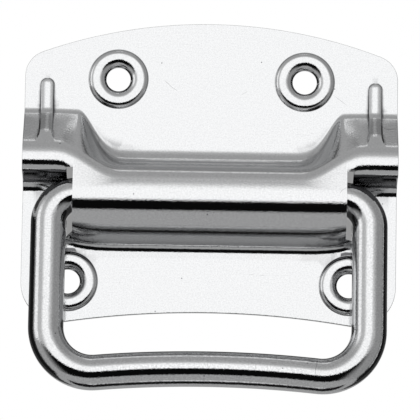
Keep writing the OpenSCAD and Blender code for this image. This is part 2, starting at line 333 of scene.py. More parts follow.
    def shares(self, x: float) -> tuple[float, float]:
        """Gives the middle form's share in the crest and in the foot of the section at x."""
        crest = 1 - ease((x - self.crest_straight) / (self.ear_join - self.crest_straight))
        run = max(0.0, x - self.foot_straight) / (self.foot_reach - self.foot_straight)
        return crest, 1 - ease(run ** 2)

    def crest_circle(self, x: float) -> tuple[Vector, float]:
        """Gives the centre and radius of the upper crest circle of the section at x."""
        share = self.shares(x)[0]
        ear = Vector((self.ear_drop, self.ear_height - self.ear_radius))
        ear -= (self.ear_back_radius - self.ear_radius) * self.way(self.front_turn[0])
        return ear.lerp(self.shoulder_centre, share), mix(self.ear_back_radius, self.shoulder_radius, share)

    def shoulder_rise(self, x: float) -> float:
        """Gives the rise of the sheet from the upper crest circle at x to the hood's broad crest."""
        centre, radius = self.crest_circle(x)
        away = self.crest_centre - centre
        return math.atan2(away.y, away.x) + math.asin((self.crest_radius - radius) / away.length)

    def upper_side(self, x: float, crest_end: float, steps: int) -> list[SheetPoint]:
        """Builds the upper fold, slope and crest of the section at x, up to the given tilt."""
        share = self.shares(x)[1]
        centre, radius = self.crest_circle(x)
        foot = mix(self.ear_top_foot, self.hood_top_foot, share)
        fold_r = mix(self.ear_fold, self.hood_fold, share)
        tilt = self.foot_tilt(centre.x - foot, centre.y, radius)
        fold = self.fold(foot, fold_r, (0.0, -tilt), STEPS.fold)
        crest = self.arc(centre, radius, -tilt, crest_end, steps)
        return fold + self.between(fold[-1], crest[0], STEPS.slope) + crest

    def low_foot(self, x: float) -> float:
        """Gives the hood's lower foot at x, rounded off towards the ends."""
        return self.hood_low_foot - self.corner_rise * self.corner(x)

    def hood_section(self, x: float) -> list[SheetPoint]:
        """Builds the section through the hood at x."""
        rise = self.shoulder_rise(x)
        upper = self.upper_side(x, -rise, STEPS.shoulder)
        low = self.low_foot(x)
        slope_centre, slope_radius = self.slope_circle(x)
        tilt = self.foot_tilt(low - slope_centre.x, slope_centre.y, slope_radius)
        third = STEPS.crest // 3
        crest = self.arc(self.crest_centre, self.crest_radius, -rise, self.front_turn[0], third)
        crest += self.arc(self.front_centre, self.front_radius, *self.front_turn, third)[1:]
        crest += self.arc(slope_centre, slope_radius, self.front_turn[1], tilt, third)[1:]
        top = upper[-1]
        least, most = self.slot_share
        share = min(most, max(least, (self.slot_top - top.down) / (crest[0].down - top.down)))
        down, height = mix(top.down, crest[0].down, share), mix(top.height, crest[0].height, share)
        slot_row = SheetPoint(down, height, top.tilt)
        fold = self.fold(low, self.low_fold, (tilt, 0.0), STEPS.fold)
        roof = self.between(top, slot_row, STEPS.roof) + [slot_row]
        return upper + roof + crest + self.between(crest[-1], fold[0], 1) + fold

    def ear_front(self, x: float) -> tuple[Vector, float]:
        """Gives the circle of an ear's lower flank at x, which clears the swung rod all along the ear."""
        back, back_radius = self.crest_circle(x)
        lean = self.way(self.front_turn[0])
        shift = back.x - self.crest_circle(self.half_width)[0].x
        radius = self.ear_radius - shift / (1 - lean.x)
        return back + (back_radius - radius) * lean, radius

    def ear_section(self, x: float) -> list[SheetPoint]:
        """Builds the section through an ear at x, on the same rows as the end of the hood."""
        back, back_radius = self.crest_circle(x)
        front = self.front_turn[0]
        centre, radius = self.ear_front(x)
        slot_tilt = math.asin((self.slot_top - centre.x) / radius)
        tilt = self.foot_tilt(self.ear_low_foot - centre.x, centre.y, radius)
        rise = self.shoulder_rise(self.rod.hood_x)
        upper = self.upper_side(x, -rise, STEPS.shoulder)
        half = STEPS.roof // 2
        upper += self.arc(back, back_radius, -rise, front, half)[1:]
        upper += self.arc(centre, radius, front, slot_tilt, half + 1)[1:]
        half = STEPS.crest // 2
        crest = self.arc(centre, radius, slot_tilt, tilt, half)[1:]
        fold = self.fold(self.ear_low_foot, self.ear_low_fold, (tilt, 0.0), half)
        rest = [flat(p.down) for p in self.hood_section(self.rod.hood_x)[self.last_slot_row:]]
        return upper + crest + fold + rest

    def rib_lift(self, x: float, down: float) -> float:
        """Gives the height of a rib above the sheet: a bead that spreads into the ear's crest."""
        fade = ease((down - self.rib_fade[0]) / self.rib_fade[1])
        reach = self.rib_width / 2 * (1 + self.rib_spread * fade)
        away = math.hypot(x - self.rib_x, min(0.0, down - (self.rib_width / 2 - self.rib_rise))) / reach
        crown = 1 - (1 - self.rib_side) * (min(away, self.rib_crown) / self.rib_crown) ** 2
        side = min(1.0, max(0.0, (1 - away) / (1 - self.rib_crown)))
        return self.rib_height * (1 - fade) * crown * side


class MeshMaker:
    """Collects points and faces of one piece, in metres, and welds them into a mesh object."""

    def __init__(self, name: str) -> None:
        """Starts an empty piece with the given name."""
        self.name = name
        self.points: list[Vector] = []
        self.marks: list[float] = []
        self.faces: list[Sequence[int]] = []

    def add(self, point: Vector, mark: float = 0.0) -> int:
        """Adds a point, with its own mark from 0 to 1, and gives its number."""
        self.points.append(point)
        self.marks.append(mark)
        return len(self.points) - 1

    def strip(self, first: Sequence[int], second: Sequence[int], closed: bool = False) -> None:
        """Joins two rows of points by quads.

        Args:
            first: Numbers of one row's points.
            second: Numbers of the other row's points, as many.
            closed: Whether the rows are loops.
        """
        count = len(first)
        for i in range(count if closed else count - 1):
            j = (i + 1) % count
            self.faces.append((first[i], first[j], second[j], second[i]))

    def build(
        self, weld: float = 1e-6, sharp_degrees: float = 80.0, mark_name: str = "painted_recess_shade"
    ) -> bpy.types.Object:
        """Welds the points, turns the faces outward and makes the object.

        Args:
            weld: Distance within which points are one, in metres, or 0 to keep them all.
            sharp_degrees: Edges that turn by more than this stay sharp.
            mark_name: Name under which the points' marks are stored.

        Returns:
            The new object, linked to the scene.
        """
        mesh = bpy.data.meshes.new(self.name)
        mesh.from_pydata(self.points, [], self.faces)
        mesh.attributes.new(mark_name, "FLOAT", "POINT").data.foreach_set("value", self.marks)
        work = bmesh.new()
        work.from_mesh(mesh)
        if weld:
            bmesh.ops.remove_doubles(work, verts=work.verts, dist=weld)
        bmesh.ops.delete(work, geom=[v for v in work.verts if not v.link_faces], context="VERTS")
        bmesh.ops.recalc_face_normals(work, faces=work.faces)
        loose = sum(1 for e in work.edges if not e.is_manifold)
        work.to_mesh(mesh)
        work.free()
        mesh.shade_smooth()
        mesh.set_sharp_from_angle(angle=math.radians(sharp_degrees))
        piece = bpy.data.objects.new(self.name, mesh)
        bpy.context.scene.collection.objects.link(piece)
        LOG.info("%s: %d faces, %d open edges", self.name, len(mesh.polygons), loose)
        return piece


@dataclass(frozen=True)
class PaintedShadeMarks:
    """Marks how far each point of a piece is hidden by the piece itself, for painted shade that darkens its
    recesses and folds in the base colour.
    """

    reach: float = 9.0 * MM
    lift: float = 0.02 * MM
    rays: int = 40
    spiral: float = math.pi * (3 - math.sqrt(5))
    name: str = "painted_recess_shade"

    def ways(self) -> list[Vector]:
        """Gives directions spread over the half sphere, more of them near its pole."""
        made = []
        for k in range(self.rays):
            out, turn = math.sqrt((k + 0.5) / self.rays), k * self.spiral
            made.append(Vector((out * math.cos(turn), out * math.sin(turn), math.sqrt(1 - out ** 2))))
        return made

    def mark(self, piece: bpy.types.Object) -> None:
        """Stores the share of directions that the piece itself blocks, at each of its points."""
        mesh = piece.data
        tree = BVHTree.FromPolygons([v.co for v in mesh.vertices], [p.vertices for p in mesh.polygons])
        ways = self.ways()
        pole = Vector((0, 0, 1))
        marks = mesh.attributes[self.name].data
        for point, mark in zip(mesh.vertices, marks):
            turn = pole.rotation_difference(point.normal).to_matrix()
            start = point.co + point.normal * self.lift
            hits = sum(1 for way in ways if tree.ray_cast(start, turn @ way, self.reach)[0] is not None)
            mark.value = max(mark.value, hits / self.rays)


@dataclass
class PressedPlate:
    """The stamped plate: flat sheet, rings round the screw holes, hood, ears and ribs."""

    form: PressedForm
    rise: float = 15.4
    drop: float = 62.9
    top_edge: float = 130.0
    bottom_edge: float = 243.0
    top_corner: float = 7.0
    bottom_corner: float = 10.5
    upper_pitch: float = 50.0
    lower_pitch: float = 75.0
    row_drop: float = 55.0
    hole_radius: float = 3.25
    ring_radius: float = 8.0
    ring_height: float = 1.0
    ring_top: tuple[float, float] = (5.3, 6.59)
    ring_crown: float = 8.0
    ring_shoulder: float = 1.7
    ring_turn: float = math.radians(60)
    dish_radius: float = 2.4
    ring_margin: float = 0.2
    chord_share: float = 0.999
    rim_round: float = 0.1
    rim_margin: float = 0.15
    rim_turns: tuple[float, ...] = (0.0, 30.0, 60.0, 90.0)
    flat_step: float = 2.0
    spot_room: float = 0.4
    slack: float = 0.0005
    weld: float = 2e-6
    sharp_degrees: float = 42.0
    maker: MeshMaker = field(default_factory=lambda: MeshMaker("pressed_plate"))

    @property
    def screws(self) -> list[tuple[float, float]]:
        """Places of the screw holes, as x and distance up."""
        upper = [(side * self.upper_pitch / 2, 0.0) for side in (-1, 1)]
        return upper + [(side * self.lower_pitch / 2, -self.row_drop) for side in (-1, 1)]

    @property
    def rim_inset(self) -> float:
        """Distance from the plate's border to the start of its rim."""
        return self.rim_round + self.rim_margin

    @property
    def ring_foot(self) -> float:
        """Radius at which a ring's border joins the flat sheet."""
        return self.ring_radius + self.ring_margin

    def section(self, x: float) -> list[SheetPoint]:
        """Gives the section of the pressed band at x, with a flat margin on both sides."""
        form = self.form
        on_ear = abs(x) > form.rod.hood_x + form.slot_width / 2
        rows = form.ear_section(abs(x)) if on_ear else form.hood_section(abs(x))
        return [flat(rows[0].down - form.margin)] + rows + [flat(self.band_bottom)]

    def columns(self) -> list[float]:
        """Gives the grid's columns from the middle to the right edge."""
        form = self.form
        rib_start, rib_end = form.rib_x - form.half_rib, form.rib_x + form.half_rib
        edge = form.half_width - self.rim_inset
        foot, hood_x = form.foot_straight, form.rod.hood_x
        middle = spaced(0.0, foot, STEPS.middle)[:-1]
        curve = spaced(foot, hood_x, STEPS.curve)
        ear = spaced(form.ear_x, rib_start, STEPS.ear)[:-1]
        rib = spaced(rib_start, rib_end, STEPS.rib)[:-1]
        return middle + curve + ear + rib + spaced(rib_end, edge, STEPS.ear)

    def press_band(self) -> list[tuple[Vector, Vector]]:
        """Adds the hood, ears and ribs, front and back, with the slots left open.

        Returns:
            Seams to the flat sheet, as pairs of plan points.
        """
        form, make = self.form, self.maker
        right = self.columns()
        xs = [-x for x in reversed(right[1:])] + right
        ear = self.section(form.half_width)
        cap = form.rib_width / 2 - form.rib_rise
        downs = [-form.rib_rise - form.margin] + spaced(-form.rib_rise, cap, STEPS.rib_cap)[:-1]
        head = [flat(down) for down in downs + spaced(cap, ear[0].down, STEPS.rib_end)[:-1]]
        front: list[list[int]] = []
        back: list[list[int]] = []
        plan: list[list[Vector]] = []
        for x in xs:
            rows = head + self.section(x)
            plan.append([Vector((x, -p.down)) for p in rows])
            front.append([])
            back.append([])
            for p in rows:
                depth = form.sheet + p.height + form.rib_lift(abs(x), p.down)
                # Painted dark reflection: the ear's steep, downward-facing lower flank is marked for a
                # darker base colour.
                painted_flank_reflection = ease((p.tilt - form.flank_turn[0]) / form.flank_turn[1])
                mark = painted_flank_reflection if abs(x) >= form.ear_x else 0.0
                front[-1].append(make.add(on_wall(x, -p.down, depth), mark))
                under = form.sheet * math.sin(p.tilt), form.sheet * math.cos(p.tilt)
                back[-1].append(make.add(on_wall(x, -p.down + under[0], depth - under[1])))
        first, last = len(head) + 1 + form.first_slot_row, len(head) + 1 + form.last_slot_row

        def is_slot(i: int, j: int) -> bool:
            """Tells whether a cell of the grid lies in a slot."""
            middle = abs(xs[j] + xs[j + 1]) / 2
            return form.rod.hood_x < middle < form.ear_x and first <= i < last

        def is_sheet(i: int, j: int) -> bool:
            """Tells whether a cell of the grid is sheet."""
            if not (0 <= i < len(plan[0]) - 1 and 0 <= j < len(xs) - 1):
                return False
            in_rib = abs(abs(xs[j] + xs[j + 1]) / 2 - form.rib_x) < form.half_rib
            return (in_rib if i < len(head) else True) and not is_slot(i, j)

        seams: list[tuple[Vector, Vector]] = []
        for j in range(len(xs) - 1):
            for i in range(len(plan[0]) - 1):
                if not is_sheet(i, j):
                    continue
                for net in (front, back):
                    make.faces.append((net[j][i], net[j + 1][i], net[j + 1][i + 1], net[j][i + 1]))
                corners = ((i, j), (i, j + 1), (i + 1, j + 1), (i + 1, j))
                beside = ((i - 1, j), (i, j + 1), (i + 1, j), (i, j - 1))
                for k, (bi, bj) in enumerate(beside):
                    if is_sheet(bi, bj):
                        continue
                    (ai, aj), (ci, cj) = corners[k], corners[(k + 1) % 4]
                    inside = 0 <= bi < len(plan[0]) - 1 and 0 <= bj < len(xs) - 1
                    if inside and is_slot(bi, bj):
                        make.faces.append((front[aj][ai], front[cj][ci], back[cj][ci], back[aj][ai]))
                    elif inside or bj == j:
                        seams.append((plan[aj][ai], plan[cj][ci]))
        for x, side in ((xs[0], -1.0), (xs[-1], 1.0)):
            rim, outward = [], Vector((side, 0, 0))
            for p in ear:
                normal = Vector((0, -math.sin(p.tilt), math.cos(p.tilt)))
                rim.append(RimPoint(Vector((x, -p.down, form.sheet + p.height)), normal, outward))
            self.roll_rim(rim)
        return seams

    @property
    def band_bottom(self) -> float:
        """Distance down at which the pressed band ends."""
        form = self.form
        return form.hood_section(0.0)[-1].down + 2 * form.margin

    def roll_rim(self, rim: Sequence[RimPoint]) -> None:
        """Adds the sheared edge along a stretch of border, with both its corners slightly rounded."""
        e, sheet = self.rim_round, self.form.sheet
        profile = [(0.0, 0.0)]
        for a in map(math.radians, self.rim_turns):
            profile.append((self.rim_margin + e * math.sin(a), e * (1 - math.cos(a))))
        profile += [(out, sheet - sink) for out, sink in reversed(profile)]
        rows = []
        for out, sink in profile:
            places = [p.place + p.outward * out - p.normal * sink for p in rim]
            rows.append([self.maker.add(on_wall(*place)) for place in places])
        for first, second in zip(rows, rows[1:]):
            self.maker.strip(first, second)

    def border(self, upper: bool) -> list[tuple[Vector, Vector]]:
        """Gives the plate's border above or below the pressed band, from right to left.

        Args:
            upper: Whether the upper border is wanted.

        Returns:
            Pairs of a plan point, set in by the rim's rounding, and the way out.
        """
        e, edge = self.rim_inset, self.form.half_width
        sign = 1.0 if upper else -1.0
        radius, r = (self.top_edge, self.top_corner) if upper else (self.bottom_edge, self.bottom_corner)
        centre = Vector((0, (self.rise if upper else -self.drop) - radius))
        corner = Vector((edge - r, centre.y + math.sqrt((radius - sign * r) ** 2 - (edge - r) ** 2)))
        turn = math.atan2(corner.y - centre.y, corner.x)
        swing = turn if upper else turn - math.pi
        start = -(self.section(edge)[0].down if upper else self.band_bottom)
        points = [(Vector((edge - e, start)), Vector((1, 0)))]

        def sweep(centre: Vector, radius: float, turns: Sequence[float], face: float) -> None:
            """Adds the points of one bend of the border, which faces away from its centre or to it."""
            for a in turns:
                way = Vector((math.cos(a), math.sin(a)))
                points.append((centre + way * radius, way * face))

        corner_steps, edge_steps = STEPS.top_border if upper else STEPS.low_border
        sweep(corner, r - e, spaced(0.0, swing, corner_steps), 1.0)
        sweep(centre, radius - sign * e, spaced(turn, math.pi - turn, edge_steps), sign)
        turns = spaced(sign * math.pi - swing, sign * math.pi, corner_steps)
        sweep(Vector((-corner.x, corner.y)), r - e, turns, 1.0)
        points.append((Vector((e - edge, start)), Vector((-1, 0))))
        kept = points[:1]
        kept += [p for q, p in zip(points, points[1:]) if (p[0] - q[0]).length > SAME_MM]
        return kept

    def lay_flats(self, seams: Sequence[tuple[Vector, Vector]]) -> None:
        """Adds the flat sheet above and below the pressed band, front and back."""
        form, make = self.form, self.maker
        middle = -(form.ear_top_foot + self.band_bottom) / 2
        for upper in (True, False):
            border = self.border(upper)
            spots: list[Vector] = []
            edges: list[tuple[int, int]] = []
            known: dict[tuple[float, float], int] = {}

            def spot(p: Vector) -> int:
                """Gives the number of a plan point, the same for the same place."""
                key = (round(p.x, SPOT_DIGITS), round(p.y, SPOT_DIGITS))
                if key not in known:
                    known[key] = len(spots)
                    spots.append(p)
                return known[key]

            for (a, _), (b, _) in zip(border, border[1:]):
                edges.append((spot(a), spot(b)))
            for a, b in seams:
                if (a.y > middle) == upper:
                    edges.append((spot(a), spot(b)))
            for cx, cy in self.screws:
                if (cy > middle) == upper:
                    loop = [spot(p) for p in self.round_points(cx, cy, self.ring_foot)]
                    edges += zip(loop, loop[1:] + loop[:1])
            spots += self.inner_spots(upper)
            verts, _, faces = delaunay_2d_cdt(spots, edges, [], TRIANGLES_INSIDE, MERGE_MM)[:3]
            for depth in (form.sheet, 0.0):
                ids = [make.add(on_wall(v.x, v.y, depth)) for v in verts]
                for face in faces:
                    centre = sum((verts[i] for i in face), Vector((0, 0))) / len(face)
                    if self.off_rings(centre):
                        make.faces.append([ids[i] for i in face])
            out = Vector((0, 0, 1))
            self.roll_rim([RimPoint(Vector((*p, form.sheet)), out, Vector((*way, 0))) for p, way in border])

    def inner_spots(self, upper: bool) -> list[Vector]:
        """Gives points inside the flat sheet above or below the band, on an even grid."""
        step, half = self.flat_step, self.form.half_width
        top, bottom = (self.rise, -self.form.hood_low_foot) if upper else (-self.band_bottom, -self.drop)
        room = [Vector((dx, dy)) * step * self.spot_room for dx in (-1, 1) for dy in (-1, 1)]
        made = []
        for i in range(int(2 * half / step)):
            for j in range(int((top - bottom) / step)):
                spot = Vector(((i + 0.5) * step - half, top - (j + 0.5) * step))
                ends = [spot + way for way in room]
                if all(self.on_flat(end, upper) and self.inside_border(end, upper) for end in ends):
                    made.append(spot)
        return made

    def inside_border(self, p: Vector, upper: bool) -> bool:
        """Tells whether a plan point lies well inside the plate's border."""
        edge = self.form.half_width - self.rim_inset
        if not upper:
            return abs(p.x) < edge - self.bottom_corner * (p.y < -self.row_drop)
        corner = abs(p.x) > self.form.half_width - self.top_corner and p.y > 0
        away = (p - Vector((0, self.rise - self.top_edge))).length
        return not corner and abs(p.x) < edge and away < self.top_edge - self.rim_inset

    def off_rings(self, p: Vector) -> bool:
        """Tells whether a plan point lies outside the rings' feet, which are many-sided."""
        return all((p - Vector(c)).length > self.ring_foot * self.chord_share for c in self.screws)

    def on_flat(self, p: Vector, upper: bool) -> bool:
        """Tells whether a plan point lies on the flat sheet above or below the band."""
        form = self.form
        if not self.off_rings(p):
            return False
        if upper:
            in_rib = abs(abs(p.x) - form.rib_x) < form.half_rib and p.y < form.rib_rise + form.margin
            return not in_rib and p.y > -self.section(p.x)[0].down
        away = (p - Vector((0, -self.drop - self.bottom_edge))).length
        return away > self.bottom_edge + self.rim_inset - self.slack

    @staticmethod
    def round_points(x: float, up: float, radius: float) -> list[Vector]:
        """Gives the plan points of a circle round a screw hole."""
        turns = [2 * math.pi * k / STEPS.ring for k in range(STEPS.ring)]
        return [Vector((x + radius * math.cos(a), up + radius * math.sin(a))) for a in turns]

    def ring_profile(self) -> list[tuple[float, float]]:
        """Gives a ring's front from its foot to the hole's edge, as radius and height."""
        arc, way = self.form.arc, self.form.way
        inner, outer = self.ring_top
        lean = math.asin((outer - inner) / 2 / self.ring_crown)
        turn = self.ring_turn
        crown = Vector(((inner + outer) / 2, self.ring_height - self.ring_crown))
        shoulder = crown + way(lean) * (self.ring_crown - self.ring_shoulder)
        side = shoulder + way(turn) * self.ring_shoulder
        fillet = side.y / (1 - math.cos(turn))
        dish = crown + way(-lean) * (self.ring_crown - self.dish_radius)
        edge = math.asin((self.hole_radius - dish.x) / self.dish_radius)
        rows = arc(side + way(turn) * fillet, -fillet, 0.0, turn, STEPS.ring_fillet)[:-1]
        rows += arc(shoulder, self.ring_shoulder, turn, lean, STEPS.ring_shoulder)
        rows += arc(crown, self.ring_crown, lean, -lean, STEPS.ring_crown)[1:-1]
        rows += arc(dish, self.dish_radius, -lean, edge, STEPS.ring_dish)
        return [(self.ring_foot, 0.0)] + [(p.down, p.height) for p in rows]

    def raise_rings(self) -> None:
        """Adds the raised rings with their holes, front and back."""
        sheet = self.form.sheet
        front = self.ring_profile()
        back = [(r, max(-sheet, h - sheet)) for r, h in front]
        profile = front + list(reversed(back))
        for cx, cy in self.screws:
            loops = []
            for r, h in profile:
                places = self.round_points(cx, cy, r)
                loops.append([self.maker.add(on_wall(p.x, p.y, sheet + h)) for p in places])
            for first, second in zip(loops, loops[1:]):
                self.maker.strip(first, second, closed=True)

    def build(self, finish: "PlatedFinish") -> bpy.types.Object:
        """Builds the plate, dresses it and puts it on its body."""
        self.lay_flats(self.press_band())
        self.raise_rings()
        piece = self.maker.build(self.weld, self.sharp_degrees)
        # Painted shade: the plate's recesses and folds get a darker base colour where the plate itself
        # hides them.
        PaintedShadeMarks().mark(piece)
        piece.data.materials.append(finish.material())
        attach(piece, Body.PLATE.value)
        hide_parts("base_plate")
        return piece


@dataclass
class BailRod:
    """The round rod, bent to a handle, with both its ends under the hood."""

    form: PressedForm
    row_drop: float = 55.0
    ring_height: float = 1.0
    ring_top: float = 6.9
    rise: float = 15.4
    inset: float = 0.036
    face_share: float = 0.6
    sharp_degrees: float = 35.0

    @property
    def rest_tilt(self) -> float:
        """Angle by which the legs stand off the plate, over the lower rings."""
        return math.atan(self.ring_height / (self.row_drop - self.form.hood_drop - self.ring_top))

    def centre_line(self) -> list[tuple[Vector, float]]:
        """Gives the right half of the rod's middle line, from the end to the grip, with headings."""
        rod = self.form.rod
        hanging = rod.overall_height - self.rise - self.form.hood_drop - rod.radius
        reach = hanging / math.cos(self.rest_tilt)
        corner = Vector((rod.leg_x - rod.corner_bend, rod.corner_bend - reach))
        bow_turn = math.asin(corner.x / (rod.bow_radius + rod.corner_bend))
        bow_centre = corner.y - (rod.bow_radius + rod.corner_bend) * math.cos(bow_turn)
        stops: list[tuple[Vector, float]] = []

        def sweep(centre: Vector, radius: float, start: float, end: float, steps: int) -> None:
            """Adds the points of one bend."""
            side = -math.pi / 2 if start > end else math.pi / 2
            for a in spaced(start, end, steps):
                stops.append((centre + Vector((math.cos(a), math.sin(a))) * radius, a + side))

        start = rod.hood_x - rod.end_length + rod.end_chamfer
        stops += [(Vector((x, 0)), 0.0) for x in spaced(start, rod.bend_x, STEPS.rod_end)[:-1]]
        quarter = math.pi / 2
        sweep(Vector((rod.bend_x, -rod.eye_bend)), rod.eye_bend, quarter, 0, STEPS.rod_eye)
        for along in spaced(-rod.eye_bend, corner.y, STEPS.rod_leg)[1:-1]:
            stops.append((Vector((rod.leg_x, along)), -quarter))
        sweep(corner, rod.corner_bend, 0, -quarter - bow_turn, STEPS.rod_corner)
        sweep(Vector((0, bow_centre)), rod.bow_radius, quarter - bow_turn, quarter, STEPS.rod_bow)
        return stops

    def place(self, x: float, along: float, out: float) -> Vector:
        """Turns a point of the rod's own plane to its place at rest."""
        t = self.rest_tilt
        up = along * math.cos(t) + out * math.sin(t)
        depth = -along * math.sin(t) + out * math.cos(t)
        return on_wall(x, up - self.form.hood_drop, depth + self.form.axis_depth)

    def build(self, finish: "PlatedFinish") -> bpy.types.Object:
        """Builds the rod, dresses it and puts it on its body."""
        rod = self.form.rod
        make = MeshMaker("bail_rod")
        half = self.centre_line()
        other = [(Vector((-p.x, p.y)), -heading) for p, heading in reversed(half[:-1])]
        line = half + other
        rings: list[list[int]] = []
        face_shares = (0.0, self.face_share, 1 - rod.end_chamfer / rod.radius)
        chamfer = Vector((rod.end_chamfer, 0))

        def ring(centre: Vector, heading: float, radius: float) -> None:
            """Adds one ring of points round the rod's middle line."""
            across = Vector((-math.sin(heading), math.cos(heading)))
            ids = []
            for k in range(STEPS.rod_sides):
                a = 2 * math.pi * k / STEPS.rod_sides
                p = centre + across * (radius * math.cos(a))
                ids.append(make.add(self.place(p.x, p.y, radius * math.sin(a))))
            rings.append(ids)

        for share in face_shares:
            ring(line[0][0] - chamfer, 0.0, rod.radius * share)
        for centre, heading in line:
            ring(centre, heading, rod.radius - self.inset)
        for share in reversed(face_shares):
            ring(line[-1][0] + chamfer, line[-1][1], rod.radius * share)
        for first, second in zip(rings, rings[1:]):
            make.strip(first, second, closed=True)
        piece = make.build(sharp_degrees=self.sharp_degrees)
        piece.data.materials.append(finish.material())
        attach(piece, Body.BAIL.value)
        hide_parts("bail_handle")
        return piece


Feed = bpy.types.NodeSocket | float | tuple[float, ...]
Sockets = Mapping[str | int, bpy.types.NodeSocket]


def grey(level: float) -> tuple[float, float, float, float]:
    """Gives a neutral colour."""
    return level, level, level, 1.0


class NodeKit:
    """Adds the nodes of one shader tree and feeds their inputs."""

    def __init__(self, tree: bpy.types.NodeTree) -> None:
        """Takes the tree to work on."""
        self.tree = tree

    def feed(self, node: bpy.types.Node, inputs: Mapping[str | int, Feed]) -> None:
        """Feeds each of the named inputs of a node from a socket, or sets it to a value."""
        for key, value in inputs.items():
            if isinstance(value, bpy.types.NodeSocket):
                self.tree.links.new(value, node.inputs[key])
            else:
                node.inputs[key].default_value = value

    def add(self, kind: str, inputs: Mapping[str | int, Feed] | None = None, **options: object) -> Sockets:
        """Adds a node.

        Args:
            kind: Type of the node.
            inputs: Sockets that feed its inputs, or values that they are set to.
            options: Settings of the node, such as its operation.

        Returns:
            The outputs of the new node.
        """
        node = self.tree.nodes.new(kind)
        for name, value in options.items():
            setattr(node, name, value)
        self.feed(node, inputs or {})
        return node.outputs

    def math(self, operation: str, *values: Feed, clamped: bool = False) -> bpy.types.NodeSocket:
        """Adds one step of arithmetic and gives its result."""
        inputs = dict(enumerate(values))
        return self.add("ShaderNodeMath", inputs, operation=operation, use_clamp=clamped)[0]

    def spread(
        self,
        value: Feed,
        low: Feed,
        high: Feed,
        ends: tuple[float, float] = (0.0, 1.0),
        kind: str = "LINEAR",
    ) -> bpy.types.NodeSocket:
        """Maps a range of a value.

        Args:
            value: The value.
            low: Where the range starts.
            high: Where the range ends.
            ends: What the start and the end of the range become.
            kind: How the value runs between them.

        Returns:
            The mapped value, which stays within the ends.
        """
        first, last = ends
        inputs = {"Value": value, "From Min": low, "From Max": high, "To Min": first, "To Max": last}
        return self.add("ShaderNodeMapRange", inputs, interpolation_type=kind)["Result"]

    def blend(self, share: Feed, first: Feed, last: Feed) -> bpy.types.NodeSocket:
        """Blends two colours by a share and gives the result."""
        inputs = {"Factor": share, "A": first, "B": last}
        return self.add("ShaderNodeMix", inputs, data_type="RGBA")["Result"]

    def choose(self, share: Feed, first: Feed, last: Feed) -> bpy.types.NodeSocket:
        """Blends two shaders by a share and gives the result."""
        return self.add("ShaderNodeMixShader", {0: share, 1: first, 2: last})[0]


class GroupSocket(NamedTuple):
    """An input of a shader group: its name and start value, or None for a vector."""

    name: str
    value: float | None = None


